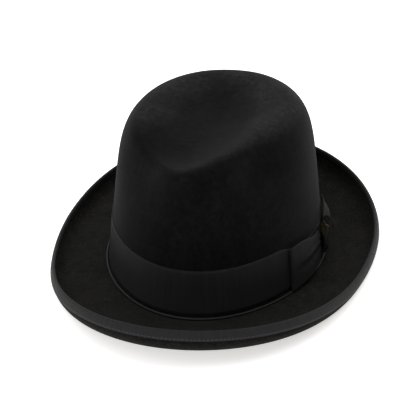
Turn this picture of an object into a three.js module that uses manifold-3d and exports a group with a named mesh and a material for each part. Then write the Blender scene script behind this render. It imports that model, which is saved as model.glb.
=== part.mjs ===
// A felt Homburg hat: creased crown, rolled and bound brim, grosgrain band with a side bow,
// wind cord, feather stick pin, leather sweatband and satin lining.
//
// Millimetres. +Z is up, -Y is the front of the hat and +X is the wearer's left.
// z = 0 is the middle of the felt where the brim breaks out of the crown. At the end the
// whole hat is moved so that the origin is the bottom centre of its bounding box.

import * as THREE from "three";
import { mergeVertices } from "three/addons/utils/BufferGeometryUtils.js";
import Module from "manifold-3d";

const wasm = await Module();
wasm.setup();

const degrees = THREE.MathUtils.degToRad;

// ---------------------------------------------------------------- driving dimensions

// Head opening, measured on the outside of the crown at the brim break.
const HALF_LENGTH = 103;
const HALF_WIDTH = 84.4;
const EGG = 0.1; // the oval is this share wider towards the back

// Crown: a tall superelliptic dome that leans back and tapers, before it is creased.
const CROWN_HEIGHT = 131;
const SHOULDER_SQUARENESS = 10.2;
const PLAN_ROUNDNESS = 2.75;
const SIDE_TAPER = 0.106;
const LENGTH_TAPER = 0.05;
const BACK_LEAN = 0.075;
const SIDE_TILT = 0.015; // the crown's top stands a little higher on the wearer's left
const FELT = 2.2; // felt thickness of crown and brim

// Centre crease: a rounded V gutter that runs front to back and dies out before the back.
const CREASE_FLOOR = 107.5;
const CREASE_DEEPEST_Y = 5;
const CREASE_RISE_FRONT = 40;
const CREASE_RISE_BACK = 17.5;
const CREASE_SLOPE = 0.42;
const CREASE_ROUNDING = 14;
const CREASE_SWING = 0.08; // the crease's front end swings this much to the wearer's right
const CREASE_BLEND = 11;

// The crown's front corner on the wearer's right is pressed down further.
const PRESS_DEPTH = 10;
const PRESS_X = -48;
const PRESS_Y = -62;
const PRESS_REACH = 38;

// Front pinches: a soft dent below the front edge of the crown, one on each side.
const PINCHES = [
  { angle: degrees(-42), depth: 10 },
  { angle: degrees(-128), depth: 9 },
];
const PINCH_SPREAD = degrees(22);
const PINCH_HEIGHT = 103;
const PINCH_TALL = 22;

// Brim: a land that rises at front and back, then a roll that curls past upright.
const BRIM_WIDTH = 64.3; // arc length from break to edge, mean
const BRIM_WIDTH_SIDE_LOSS = 14.2;
const BRIM_RISE = degrees(13); // slope of the land at front and back
const FLAT_SIDE = 0.25; // the land is level where |sin(theta)| is below this
const ROLL_RADIUS = 10;
const ROLL_RADIUS_SIDE_LOSS = 2;
const ROLL_ANGLE = degrees(124);
const ROLL_ANGLE_BACK_GAIN = degrees(2.6);

// Trims.
const GAP = 0.3; // clearance between pieces that touch
const BINDING_OUTSIDE = 6;
const BINDING_INSIDE = 5;
const BINDING_THICK = 0.6;
const BAND_BOTTOM = 4.4;
const BAND_WIDTH = 34.8;
const BAND_THICK = 0.8;
const CORD_RADIUS = 0.65;
const CORD_OUT = 1.8;
const CORD_RAISE = 2.35;

// Bow on the wearer's left.
const BOW_CENTRE = degrees(0);
const BOW_FRONT_SPAN = degrees(30);
const BOW_REAR_SPAN = degrees(26);
const BOW_HALF_KNOT = degrees(3);
const BOW_WAIST_LOW = 9.5;
const BOW_WAIST_HIGH = 25;
const BOW_LOOP_THICK = 2.6;
const BOW_PUFF = 2.2; // how far each loop swells out beside the knot
const TAIL_THICK = 0.7;
const KNOT_THICK = 5.8;

// Feather stick pin.
const PIN_RADIUS = 0.55;
const PIN_CHANNEL_RADIUS = 0.9;
const PIN_TIP_HEIGHT = 7;
const PIN_TOP_HEIGHT = 27.4;
const PIN_OFFSET = 4.8; // from the crown wall to the pin's axis

// Inside of the hat.
const SWEATBAND_HEIGHT = 38;
const SWEATBAND_THICK = 0.9;
const REED_RADIUS = 0.75;
const LINING_THICK = 0.6;
const LINING_INSET = FELT + 0.8; // from the outside of the crown's wall to the lining
const LINING_DROP = 4.2; // how far the lining tip hangs below the outside of the crown
const SHIELD_THICK = 0.5;

// Sampling of the long loops.
const STEPS_AROUND = 48;

// ---------------------------------------------------------------- materials

function finish(color, roughness, metalness = 0) {
  return new THREE.MeshStandardMaterial({ color, roughness, metalness });
}

const FUR_FELT = finish(0x17181c, 0.95);
const GROSGRAIN = finish(0x1b1c21, 0.75);
const BINDING_GROSGRAIN = finish(0x2b2e36, 0.7);
const CORD = finish(0x6b6f76, 0.45);
const BRONZE = finish(0x8a6a32, 0.35, 0.9);
const STEEL = finish(0xa8a8a4, 0.3, 0.9);
const GREY_HACKLE = finish(0x5d5f60, 0.8);
const OLIVE_HACKLE = finish(0x4a431f, 0.8);
const LEATHER = finish(0x3a2416, 0.55);
const REED_PLASTIC = finish(0xd8d2c0, 0.5);
const SATIN = finish(0x8f8a86, 0.35);
const CLEAR = new THREE.MeshStandardMaterial({
  color: 0xe8ecee, roughness: 0.15, metalness: 0, transparent: true, opacity: 0.35,
});
const PAPER = finish(0xe9e4d6, 0.9);

// ---------------------------------------------------------------- solid builders

/** Joins numbered points and triangles into a welded geometry whose faces point out. */
function weld(points, triangles) {
  const raw = new THREE.BufferGeometry();
  raw.setAttribute("position", new THREE.Float32BufferAttribute(
    points.flatMap((p) => [p.x, p.y, p.z]), 3));
  raw.setIndex(triangles.flat());
  const geometry = mergeVertices(raw, 1e-4);
  const index = Array.from(geometry.index.array);
  const kept = [];
  for (let i = 0; i < index.length; i += 3) {
    const [a, b, c] = index.slice(i, i + 3);
    if (a !== b && b !== c && c !== a) kept.push(a, b, c);
  }
  geometry.setIndex(kept);
  if (signedVolume(geometry) < 0) {
    geometry.setIndex(kept.reverse());
  }
  geometry.computeVertexNormals();
  return geometry;
}

/** Six times the signed volume inside a closed geometry. */
function signedVolume(geometry) {
  const position = geometry.attributes.position;
  const index = geometry.index;
  const corner = () => new THREE.Vector3();
  const [a, b, c] = [corner(), corner(), corner()];
  let volume = 0;
  for (let i = 0; i < index.count; i += 3) {
    a.fromBufferAttribute(position, index.getX(i));
    b.fromBufferAttribute(position, index.getX(i + 1));
    c.fromBufferAttribute(position, index.getX(i + 2));
    volume += a.dot(b.cross(c));
  }
  return volume;
}

/** A ring of sections that closes on itself: a hoop, band or binding. */
function hoop(sections) {
  const size = sections[0].length;
  const triangles = [];
  sections.forEach((_, i) => {
    const next = ((i + 1) % sections.length) * size;
    for (let j = 0; j < size; j += 1) {
      const k = (j + 1) % size;
      triangles.push([i * size + j, next + j, next + k]);
      triangles.push([i * size + j, next + k, i * size + k]);
    }
  });
  return weld(sections.flat(), triangles);
}

/** A solid between two open grids of points with the same rows and columns. */
function slab(top, bottom) {
  const rows = top.length;
  const columns = top[0].length;
  const points = [...top.flat(), ...bottom.flat()];
  const under = rows * columns;
  const at = (i, j) => i * columns + j;
  const triangles = [];
  const quad = (a, b, c, d) => triangles.push([a, b, c], [a, c, d]);
  for (let i = 0; i < rows - 1; i += 1) {
    for (let j = 0; j < columns - 1; j += 1) {
      const [a, b, c, d] = [at(i, j), at(i + 1, j), at(i + 1, j + 1), at(i, j + 1)];
      quad(a, b, c, d);
      quad(under + d, under + c, under + b, under + a);
    }
    quad(at(i, 0), under + at(i, 0), under + at(i + 1, 0), at(i + 1, 0));
    const [e, f] = [at(i, columns - 1), at(i + 1, columns - 1)];
    quad(e, f, under + f, under + e);
  }
  for (let j = 0; j < columns - 1; j += 1) {
    quad(at(0, j), at(0, j + 1), under + at(0, j + 1), under + at(0, j));
    const [e, f] = [at(rows - 1, j), at(rows - 1, j + 1)];
    quad(e, under + e, under + f, f);
  }
  return weld(points, triangles);
}

/** A closed shell from rows of rings; the first and last row are single points. */
function shell(rows) {
  const size = rows[0].length;
  const triangles = [];
  for (let i = 0; i < rows.length - 1; i += 1) {
    for (let j = 0; j < size; j += 1) {
      const k = (j + 1) % size;
      const [a, b] = [i * size, (i + 1) * size];
      triangles.push([a + j, b + j, b + k], [a + j, b + k, a + k]);
    }
  }
  return weld(rows.flat(), triangles);
}

/** Turns a closed geometry into a solid that can be cut and joined. */
function solid(geometry) {
  const bare = geometry.index ? geometry.clone() : mergeVertices(geometry.clone());
  bare.deleteAttribute("normal");
  bare.deleteAttribute("uv");
  const merged = mergeVertices(bare, 1e-4);
  return new wasm.Manifold(new wasm.Mesh({
    numProp: 3,
    vertProperties: new Float32Array(merged.attributes.position.array),
    triVerts: new Uint32Array(merged.index.array),
  }));
}

/** Turns a solid back into a geometry. */
function surface(body) {
  const mesh = body.getMesh();
  const geometry = new THREE.BufferGeometry();
  geometry.setAttribute("position", new THREE.BufferAttribute(mesh.vertProperties, 3));
  geometry.setIndex(Array.from(mesh.triVerts));
  geometry.computeVertexNormals();
  return geometry;
}

const hat = new THREE.Group();

function add(name, geometry, material) {
  const mesh = new THREE.Mesh(geometry, material);
  mesh.name = name;
  hat.add(mesh);
  return mesh;
}

/** Evenly spaced values from first to last, both included. */
function spread(first, last, count) {
  return Array.from({ length: count }, (_, i) => first + ((last - first) * i) / (count - 1));
}

const AROUND = Array.from({ length: STEPS_AROUND }, (_, i) => (i * 2 * Math.PI) / STEPS_AROUND);

// ---------------------------------------------------------------- shape of the hat

/** Unit vector out of the head oval, level, at the oval angle theta. */
function outward(theta) {
  const dx = -HALF_WIDTH * (Math.sin(theta) - EGG * Math.cos(2 * theta));
  const dy = HALF_LENGTH * Math.cos(theta);
  return new THREE.Vector3(dy, -dx, 0).normalize();
}

/** Smooth minimum: rounds the edge where two surfaces meet. */
function smoothMin(a, b, blend) {
  const share = THREE.MathUtils.clamp(0.5 + (0.5 * (b - a)) / blend, 0, 1);
  return b + (a - b) * share - blend * share * (1 - share);
}

/** Height of the crease surface above the break at a place on the crown's plan. */
function creaseHeight(x, y) {
  const run = y - CREASE_DEEPEST_Y;
  const reach = run < 0 ? CREASE_RISE_FRONT : CREASE_RISE_BACK;
  const aside = x - CREASE_SWING * Math.min(run, 0);
  const side = Math.hypot(aside, CREASE_ROUNDING) - CREASE_ROUNDING;
  const spot = ((x - PRESS_X) ** 2 + (y - PRESS_Y) ** 2) / PRESS_REACH ** 2;
  return CREASE_FLOOR + (run / reach) ** 2 + CREASE_SLOPE * side - PRESS_DEPTH * Math.exp(-spot);
}

/** How far the front pinches push the crown in at an oval angle and height. */
function pinchDepth(theta, z) {
  const fall = Math.exp(-(((z - PINCH_HEIGHT) / PINCH_TALL) ** 2));
  return PINCHES.reduce((sum, { angle, depth }) => {
    const turn = Math.atan2(Math.sin(theta - angle), Math.cos(theta - angle));
    return sum + depth * fall * Math.exp(-((turn / PINCH_SPREAD) ** 2));
  }, 0);
}

/**
 * A point on the creased crown. phi is 0 at the break and 90 degrees at the top.
 * inset moves the whole surface inwards and down, for the inside and the lining.
 */
function crownPoint(theta, phi, inset = 0) {
  const z = (CROWN_HEIGHT - inset) * Math.sin(phi) ** (2 / SHOULDER_SQUARENESS);
  const share = Math.max(Math.cos(phi), 0) ** (2 / PLAN_ROUNDNESS);
  const halfWidth = HALF_WIDTH - inset - SIDE_TAPER * z;
  const halfLength = HALF_LENGTH - inset - LENGTH_TAPER * z;
  const dent = pinchDepth(theta, z) * share;
  const out = outward(theta);
  const x = share * halfWidth * Math.cos(theta) * (1 + EGG * Math.sin(theta)) - out.x * dent;
  const y = share * halfLength * Math.sin(theta) + BACK_LEAN * z - out.y * dent;
  const floor = creaseHeight(x, y) - inset;
  const tilt = SIDE_TILT * x * (z / CROWN_HEIGHT);
  return new THREE.Vector3(x, y, smoothMin(z, floor, CREASE_BLEND) + tilt);
}

/** A point beside the crown's wall: height z above the break, off outwards from the felt. */
function wallPoint(theta, z, off) {
  const phi = Math.asin((Math.max(z, 0) / CROWN_HEIGHT) ** (SHOULDER_SQUARENESS / 2));
  return crownPoint(theta, phi).addScaledVector(outward(theta), off).setZ(z);
}

/** The brim's section at an oval angle. */
function brimSection(theta) {
  const sideways = Math.cos(2 * theta);
  const steep = Math.max(0, (Math.abs(Math.sin(theta)) - FLAT_SIDE) / (1 - FLAT_SIDE));
  const slope = BRIM_RISE * steep ** 1.5;
  const width = BRIM_WIDTH - BRIM_WIDTH_SIDE_LOSS * sideways;
  const radius = ROLL_RADIUS - ROLL_RADIUS_SIDE_LOSS * sideways;
  const end = ROLL_ANGLE + ROLL_ANGLE_BACK_GAIN * Math.sin(theta);
  return { slope, width, radius, end, land: width - radius * (end - slope) };
}

/**
 * A point by the brim: along is the arc length from the break, past the edge if it is more
 * than the brim's width; up is the distance from the middle of the felt to its upper side.
 */
function brimPoint(theta, along, up) {
  const { slope, width, radius, end, land } = brimSection(theta);
  const onLand = Math.min(along, land);
  const turn = slope + THREE.MathUtils.clamp((along - land) / radius, 0, end - slope);
  const past = Math.max(0, along - width);
  const out = onLand * Math.cos(slope) + radius * (Math.sin(turn) - Math.sin(slope))
    + past * Math.cos(turn) - up * Math.sin(turn);
  const z = onLand * Math.sin(slope) + radius * (Math.cos(slope) - Math.cos(turn))
    + past * Math.sin(turn) + up * Math.cos(turn);
  return wallPoint(theta, 0, out).setZ(z);
}

/** The angle phi where the crown's plan has shrunk to a share of its full size. */
const phiOfShare = (share) => Math.acos(share ** (PLAN_ROUNDNESS / 2));

/** The angle phi where the crown has reached a share of its height. */
const phiOfHeight = (share) => Math.asin(share ** (SHOULDER_SQUARENESS / 2));

// ---------------------------------------------------------------- felt body

const TOP_SHARES = [0, 0.14, 0.28, 0.41, 0.53, 0.64, 0.74, 0.82, 0.885, 0.935];
const WALL_SHARES = [0.78, 0.7, 0.6, 0.47, 0.32, 0.16];
const CROWN_PHIS = [...TOP_SHARES.map(phiOfShare), ...WALL_SHARES.map(phiOfHeight)];

/** Rows of the crown from the top down to just above the break, moved in by inset. */
function crownRows(inset, phis = CROWN_PHIS, around = AROUND) {
  return phis.map((phi) => around.map((theta) => crownPoint(theta, phi, inset)));
}

/** Rows along one side of the brim; shares run from 0 at the break to 1 at the edge. */
function brimRows(up, shares) {
  return shares.map((share) => AROUND.map((theta) => {
    const { width, land } = brimSection(theta);
    const along = share < 1 ? share * land : land + (share - 1) * (width - land);
    return brimPoint(theta, along, up);
  }));
}

/** One row of points beside the crown wall. */
function wallRow(z, off) {
  return AROUND.map((theta) => wallPoint(theta, z, off));
}

/** One row of points on the rounded brim edge. */
function edgeRow(past, up) {
  return AROUND.map((theta) => brimPoint(theta, brimSection(theta).width + past, up));
}

function buildFeltBody() {
  const half = FELT / 2;
  const roll = [1, 1.22, 1.44, 1.64, 1.83];
  const breakTop = [wallRow(3.4, 0), wallRow(2.2, 0.35), wallRow(1.45, 1.1)];
  const breakUnder = [wallRow(-half, 2.2), wallRow(-0.6, -0.4), wallRow(1.4, -FELT)];
  const rows = [
    ...crownRows(0),
    ...breakTop,
    ...brimRows(half, [0.12, 0.55, ...roll]),
    edgeRow(-0.5, half),
    edgeRow(0, half * 0.4),
    edgeRow(0, -half * 0.4),
    edgeRow(-0.5, -half),
    ...brimRows(-half, [...roll.toReversed(), 0.55, 0.12]),
    ...breakUnder,
    ...crownRows(FELT).toReversed(),
  ];
  add("felt_body", shell(rows), FUR_FELT);
}

// ---------------------------------------------------------------- trims outside

function buildBrimBinding() {
  const near = FELT / 2 + GAP;
  const far = near + BINDING_THICK;
  const sections = AROUND.map((theta) => {
    const { width } = brimSection(theta);
    const at = (back, up) => brimPoint(theta, width - back, up);
    const tip = GAP + BINDING_THICK;
    return [
      at(BINDING_OUTSIDE, -far), at(BINDING_OUTSIDE / 2, -far), at(0, -far * 0.85),
      at(-tip, -far * 0.4), at(-tip, far * 0.4), at(0, far * 0.85),
      at(BINDING_INSIDE / 2, far), at(BINDING_INSIDE, far),
      at(BINDING_INSIDE, near), at(BINDING_INSIDE / 2, near), at(0.3, near),
      at(-GAP, near * 0.45), at(-GAP, -near * 0.45), at(0.3, -near),
      at(BINDING_OUTSIDE / 2, -near), at(BINDING_OUTSIDE, -near),
    ];
  });
  add("brim_binding", hoop(sections), BINDING_GROSGRAIN);
}

function buildHatBand() {
  const near = GAP;
  const far = GAP + BAND_THICK;
  const low = BAND_BOTTOM;
  const high = BAND_BOTTOM + BAND_WIDTH;
  const sections = AROUND.map((theta) => [
    wallPoint(theta, low, far), wallPoint(theta, high, far),
    wallPoint(theta, high, near), wallPoint(theta, low, near),
  ]);
  add("hat_band", hoop(sections), GROSGRAIN);
}

/** A round cord all round the crown, on the line that place(theta) gives. */
function ringCord(place, radius, sides) {
  return hoop(AROUND.map((theta) => {
    const centre = place(theta);
    const out = outward(theta);
    return Array.from({ length: sides }, (_, i) => {
      const turn = (i * 2 * Math.PI) / sides;
      const point = centre.clone().addScaledVector(out, radius * Math.cos(turn));
      point.z += radius * Math.sin(turn);
      return point;
    });
  }));
}

function buildWindCord() {
  const place = (theta) => {
    const rise = brimPoint(theta, CORD_OUT, 0).z;
    return wallPoint(theta, 0, CORD_OUT).setZ(rise + CORD_RAISE);
  };
  add("wind_cord", ringCord(place, CORD_RADIUS, 8), CORD);
}

// ---------------------------------------------------------------- bow

const BOW_INNER = GAP + BAND_THICK + GAP;
const LOOP_INNER = BOW_INNER + TAIL_THICK + GAP;

/** A curved panel on the crown wall between two oval angles. */
function wallPanel(from, to, steps, edge) {
  const along = spread(0, 1, steps);
  const side = (key) => along.map((share) => {
    const theta = from + (to - from) * share;
    const { low, high, inner, outer } = edge(share);
    const off = key === "outer" ? outer : inner;
    return spread(low, high, 4).map((z) => wallPoint(theta, z, off));
  });
  return slab(side("outer"), side("inner"));
}

/** One side of the bow: full height from its outer fold nearly to the knot, where it swells. */
function bowLoop(name, span, direction) {
  const fullLow = BAND_BOTTOM - 1.2;
  const fullHigh = BAND_BOTTOM + BAND_WIDTH + 0.6;
  const knotSide = BOW_CENTRE + direction * (BOW_HALF_KNOT + degrees(0.4));
  const foldSide = BOW_CENTRE + direction * span;
  const panel = wallPanel(knotSide, foldSide, 14, (share) => {
    const open = THREE.MathUtils.smoothstep(share, 0, 0.28);
    const puff = BOW_PUFF * Math.exp(-(((share - 0.27) / 0.25) ** 2));
    return {
      low: BOW_WAIST_LOW + (fullLow - BOW_WAIST_LOW) * share ** 2,
      high: BOW_WAIST_HIGH + (fullHigh - BOW_WAIST_HIGH) * open,
      inner: LOOP_INNER,
      outer: LOOP_INNER + BOW_LOOP_THICK * (1 - 0.35 * share) + puff,
    };
  });
  add(name, panel, GROSGRAIN);
}

/** The ribbon's tail, which shows below the front loop. */
function buildBowTail() {
  const from = BOW_CENTRE - BOW_HALF_KNOT;
  const to = BOW_CENTRE - BOW_FRONT_SPAN * 0.86;
  const panel = wallPanel(from, to, 7, (share) => ({
    low: BAND_BOTTOM - 1,
    high: BAND_BOTTOM + 18 - 6 * share,
    inner: BOW_INNER,
    outer: BOW_INNER + TAIL_THICK,
  }));
  add("bow_tail", panel, GROSGRAIN);
}

/** The pin's line: a point on its axis at height z. */
const pinPoint = (z) => wallPoint(BOW_CENTRE, z, PIN_OFFSET);

/** A shape turned about the pin's axis: (radius, height) pairs, base and tip on the axis. */
function turnedOnPin(profile, sides) {
  const points = profile.map(([radius, z]) => new THREE.Vector2(radius, z));
  const geometry = new THREE.LatheGeometry(points, sides);
  geometry.rotateX(Math.PI / 2);
  const lean = pinPoint(1).sub(pinPoint(0)).normalize();
  const turn = new THREE.Quaternion().setFromUnitVectors(new THREE.Vector3(0, 0, 1), lean);
  geometry.applyQuaternion(turn);
  const base = pinPoint(0);
  geometry.translate(base.x, base.y, base.z);
  return surface(solid(geometry));
}

/** The wrap round the bow's waist, with the channel that the stick pin pierces. */
function buildBowKnot() {
  const block = wallPanel(BOW_CENTRE - BOW_HALF_KNOT, BOW_CENTRE + BOW_HALF_KNOT, 5, (share) => {
    const bulge = Math.sin(share * Math.PI);
    return {
      low: BOW_WAIST_LOW - 1.2,
      high: BOW_WAIST_HIGH + 1,
      inner: LOOP_INNER,
      outer: LOOP_INNER + KNOT_THICK * (0.75 + 0.25 * bulge),
    };
  });
  const channel = turnedOnPin(
    [[0, 2], [PIN_CHANNEL_RADIUS, 2], [PIN_CHANNEL_RADIUS, 36], [0, 36]], 10);
  add("bow_knot", surface(solid(block).subtract(solid(channel))), GROSGRAIN);
}

// ---------------------------------------------------------------- feather stick pin

function buildStickPin() {
  const tip = PIN_TIP_HEIGHT;
  add("ornament_pin", turnedOnPin(
    [[0, tip], [PIN_RADIUS, tip + 3], [PIN_RADIUS, PIN_TOP_HEIGHT], [0, PIN_TOP_HEIGHT]],
    8), STEEL);
  const foot = PIN_TOP_HEIGHT + GAP;
  const ferrule = turnedOnPin([
    [0, foot], [1.3, foot], [1.9, foot + 1], [1.5, foot + 2.4],
    [1.5, foot + 4.2], [2, foot + 5.2], [1.7, foot + 6], [0, foot + 6],
  ], 12);
  const bead = new THREE.SphereGeometry(1.9, 12, 8);
  const centre = wallPoint(BOW_CENTRE, foot + 2.9, PIN_OFFSET + 2.6);
  bead.translate(centre.x, centre.y, centre.z);
  add("ornament_head", surface(solid(ferrule).add(solid(bead))), BRONZE);
}

/**
 * A hackle feather: a pointed leaf that springs out of the ferrule and curls over.
 * path gives (off, height) at a share of its length; it leans round the crown from the
 * angle root by the angle swing.
 */
function hackle(name, path, [root, swing], width, material) {
  const stations = spread(0, 1, 9);
  const side = (thick) => stations.map((share) => {
    const [off, z] = path(share);
    const [nextOff, nextZ] = path(share + 0.01);
    const run = Math.hypot(nextOff - off, nextZ - z);
    const [liftOff, liftZ] = [(nextZ - z) / run, (off - nextOff) / run];
    const leaf = width * Math.max(0.16, Math.sin(Math.PI * share ** 0.8));
    const theta = BOW_CENTRE + root + swing * share;
    return [-0.5, 0, 0.5].map((edge) => wallPoint(
      theta + (edge * leaf) / HALF_LENGTH, z + thick * liftZ, off + thick * liftOff));
  });
  add(name, slab(side(0.4), side(-0.4)), material);
}

function buildHackles() {
  const start = PIN_TOP_HEIGHT + 7.4;
  const curl = (reach, rise, drop) => (share) => {
    const turn = share * Math.PI * 0.9;
    return [
      PIN_OFFSET + reach * (1 - Math.cos(turn)) * 0.5,
      start + rise * Math.sin(turn) - drop * share ** 2,
    ];
  };
  hackle("hackle_grey", curl(10, 6, 10), [degrees(1), degrees(6)], 7, GREY_HACKLE);
  hackle("hackle_olive", curl(6.5, 2, 22), [degrees(-1), degrees(-5)], 6, OLIVE_HACKLE);
}

// ---------------------------------------------------------------- inside of the hat

const SWEATBAND_FOOT = -FELT - GAP - 2 * REED_RADIUS - GAP;
const SWEATBAND_TOP = -LINING_INSET - LINING_THICK - GAP;

function sweatbandOff(z) {
  return SWEATBAND_FOOT + (SWEATBAND_TOP - SWEATBAND_FOOT) * (z / SWEATBAND_HEIGHT);
}

function buildSweatband() {
  const heights = [1, SWEATBAND_HEIGHT];
  const sections = AROUND.map((theta) => [
    ...heights.map((z) => wallPoint(theta, z, sweatbandOff(z))),
    ...heights.toReversed().map((z) => wallPoint(theta, z, sweatbandOff(z) - SWEATBAND_THICK)),
  ]);
  add("sweatband", hoop(sections), LEATHER);
  const reedPlace = (theta) => wallPoint(theta, 3, -FELT - GAP - REED_RADIUS);
  add("sweatband_reed", ringCord(reedPlace, REED_RADIUS, 6), REED_PLASTIC);
}

/** A small flat panel on the inner face of the sweatband. */
function insidePanel(centre, halfAngle, lift, thick, edge) {
  return wallPanel(centre - halfAngle, centre + halfAngle, 7, (share) => {
    const [low, high] = edge(share);
    const off = sweatbandOff((low + high) / 2) - SWEATBAND_THICK - lift;
    return { low, high, inner: off - thick, outer: off };
  });
}

function buildSweatbandTrims() {
  const back = degrees(90);
  const seam = insidePanel(back, degrees(3.4), GAP + 0.4, 0.5, () => [3, 30]);
  add("sweatband_seam_tape", seam, GROSGRAIN);
  const bow = insidePanel(back, degrees(7.5), GAP + 1.5, 1, (share) => {
    const flare = 1.6 + 2.6 * Math.abs(2 * share - 1);
    return [17 - flare, 17 + flare];
  });
  add("sweatband_bow", bow, SATIN);
  const label = insidePanel(degrees(68), degrees(5), GAP + 0.9, 0.35, () => [12, 24]);
  add("size_label", label, PAPER);
}

function buildLining() {
  const wallPhis = WALL_SHARES.slice(1, 5).map(phiOfHeight);
  const wall = (inset) => AROUND.map((theta) => wallPhis.map(
    (phi) => crownPoint(theta, phi, inset)));
  const [skin, inside] = [wall(LINING_INSET), wall(LINING_INSET + LINING_THICK)];
  const sections = skin.map((row, i) => [...row, ...inside[i].toReversed()]);
  add("lining_side", hoop(sections), SATIN);

  const tipPhis = [
    ...TOP_SHARES.slice(0, 9).map(phiOfShare),
    ...[0.845, 0.795, 0.747].map(phiOfHeight),
  ];
  const tipRows = crownRows(LINING_DROP, tipPhis);
  const underRows = crownRows(LINING_DROP + LINING_THICK, tipPhis).toReversed();
  add("lining_tip", shell([...tipRows, ...underRows]), SATIN);

  const pipingPhi = phiOfHeight(0.735);
  const pipingPlace = (theta) => crownPoint(theta, pipingPhi, LINING_INSET + 1.6);
  add("lining_piping", ringCord(pipingPlace, 1, 6), SATIN);
}

/** Clear shield under the lining tip, cut as an oval that stays short of the ridges. */
function buildTipShield() {
  const inset = LINING_DROP + LINING_THICK + 1;
  const every = AROUND.filter((_, i) => i % 2 === 0);
  const phis = TOP_SHARES.slice(0, 6).map(phiOfShare);
  const rows = [
    ...crownRows(inset, phis, every),
    ...crownRows(inset + SHIELD_THICK, phis, every).toReversed(),
  ];
  add("tip_shield", shell(rows), CLEAR);
}

// ---------------------------------------------------------------- assembly

buildFeltBody();
buildBrimBinding();
buildHatBand();
buildWindCord();
bowLoop("bow_front_loop", BOW_FRONT_SPAN, -1);
bowLoop("bow_rear_loop", BOW_REAR_SPAN, 1);
buildBowTail();
buildBowKnot();
buildStickPin();
buildHackles();
buildSweatband();
buildSweatbandTrims();
buildLining();
buildTipShield();

const box = new THREE.Box3().setFromObject(hat);
const middle = box.getCenter(new THREE.Vector3());
hat.position.set(-middle.x, -middle.y, -box.min.z);

export default hat;
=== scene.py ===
"""Looks of a black fur felt Homburg hat with ribbon trims, a feather pin and a satin lining.

Metres. +Z is up, -Y is the front of the hat and +X is the wearer's left, where the bow is.
The shape functions measure heights from the middle of the felt at the brim break.
"""
import math

import bmesh
import bpy
import numpy as np
from mathutils import Matrix, Vector


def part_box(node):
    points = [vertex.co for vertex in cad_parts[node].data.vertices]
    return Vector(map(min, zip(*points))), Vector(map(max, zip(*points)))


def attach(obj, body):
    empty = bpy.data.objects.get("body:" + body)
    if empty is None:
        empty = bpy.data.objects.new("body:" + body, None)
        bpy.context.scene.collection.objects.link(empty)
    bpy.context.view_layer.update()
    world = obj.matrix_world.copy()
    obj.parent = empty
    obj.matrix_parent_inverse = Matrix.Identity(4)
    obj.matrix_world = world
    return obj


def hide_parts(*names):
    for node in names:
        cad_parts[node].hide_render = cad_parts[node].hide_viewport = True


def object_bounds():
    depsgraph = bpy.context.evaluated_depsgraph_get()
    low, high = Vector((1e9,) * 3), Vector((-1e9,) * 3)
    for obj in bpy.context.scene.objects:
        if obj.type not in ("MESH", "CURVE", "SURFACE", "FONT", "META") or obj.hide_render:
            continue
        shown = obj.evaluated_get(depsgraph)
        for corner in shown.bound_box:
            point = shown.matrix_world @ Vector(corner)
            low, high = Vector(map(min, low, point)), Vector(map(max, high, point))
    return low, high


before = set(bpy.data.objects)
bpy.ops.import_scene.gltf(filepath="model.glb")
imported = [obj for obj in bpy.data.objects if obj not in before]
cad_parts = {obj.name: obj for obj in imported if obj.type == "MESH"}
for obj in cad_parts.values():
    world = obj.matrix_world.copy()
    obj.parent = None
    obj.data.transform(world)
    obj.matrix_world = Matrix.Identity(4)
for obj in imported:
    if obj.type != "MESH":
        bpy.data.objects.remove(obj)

cad_box = [list(corner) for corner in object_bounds()]

# ---- driving dimensions

HALF_LENGTH = 0.103
HALF_WIDTH = 0.0844
EGG = 0.1

CROWN_HEIGHT = 0.131
SHOULDER_SQUARENESS = 10.2
PLAN_ROUNDNESS = 2.75
SIDE_TAPER = 0.106
LENGTH_TAPER = 0.05
BACK_LEAN = 0.075
SIDE_TILT = 0.015
FELT = 0.0022

CREASE_FLOOR = 0.1075
CREASE_DEEPEST_Y = 0.005
CREASE_REACH_FRONT = 0.040
CREASE_REACH_BACK = 0.0175
CREASE_SLOPE = 0.42
CREASE_ROUNDING = 0.014
CREASE_SWING = 0.08
CREASE_BLEND = 0.011

PRESS_DEPTH = 0.010
PRESS_X = -0.048
PRESS_Y = -0.062
PRESS_REACH = 0.038

PINCH_SPREAD = math.radians(22)
PINCH_HEIGHT = 0.103
PINCH_TALL = 0.022
PINCH_LEFT_ANGLE = math.radians(-42)
PINCH_LEFT_DEPTH = 0.010
PINCH_RIGHT_ANGLE = math.radians(-128)
PINCH_RIGHT_DEPTH = 0.009

BRIM_WIDTH = 0.0643
BRIM_WIDTH_SIDE_LOSS = 0.0142
BRIM_RISE = math.radians(13)
FLAT_SIDE = 0.25
ROLL_RADIUS = 0.010
ROLL_RADIUS_SIDE_LOSS = 0.002
ROLL_ANGLE = math.radians(124)
ROLL_ANGLE_BACK_GAIN = math.radians(2.6)

EDGE_THIN = 0.6
EDGE_ROUND = 0.0006
BEND_ABOVE = 0.0023
BEND_UNDER = 0.004
EDGE_RUN = 0.010
RIBBON = 0.0005
RIBBON_OFF = RIBBON * 0.7
RIB_PITCH = 0.0006
BINDING_FOLD = 0.0009
BINDING_OUTSIDE = 0.0062
BINDING_INSIDE = 0.0050
BAND_BOTTOM = 0.0044
BAND_WIDTH = 0.0348
BAND_DIP = 0.0072
BAND_DIP_END = 38
BAND_DIP_RUN = 18
CORD_STEPS = 1800
CORD_RADIUS = 0.00056
CORD_OUT = 0.0018
CORD_RAISE = 0.00235

BOW_FRONT_SPAN = math.radians(30)
BOW_REAR_SPAN = math.radians(21)
BOW_HALF_KNOT = math.radians(3.2)
BOW_WAIST_LOW = 0.0080
KNOT_LOW = 0.0112
KNOT_HIGH = 0.0290
BOW_PUFF = 0.0014
LOOP_NEAR = 0.0026
LOOP_DEPTH = 0.0022
KNOT_HALF_WIDTH = 0.0052
KNOT_FAR = 0.0068

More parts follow.
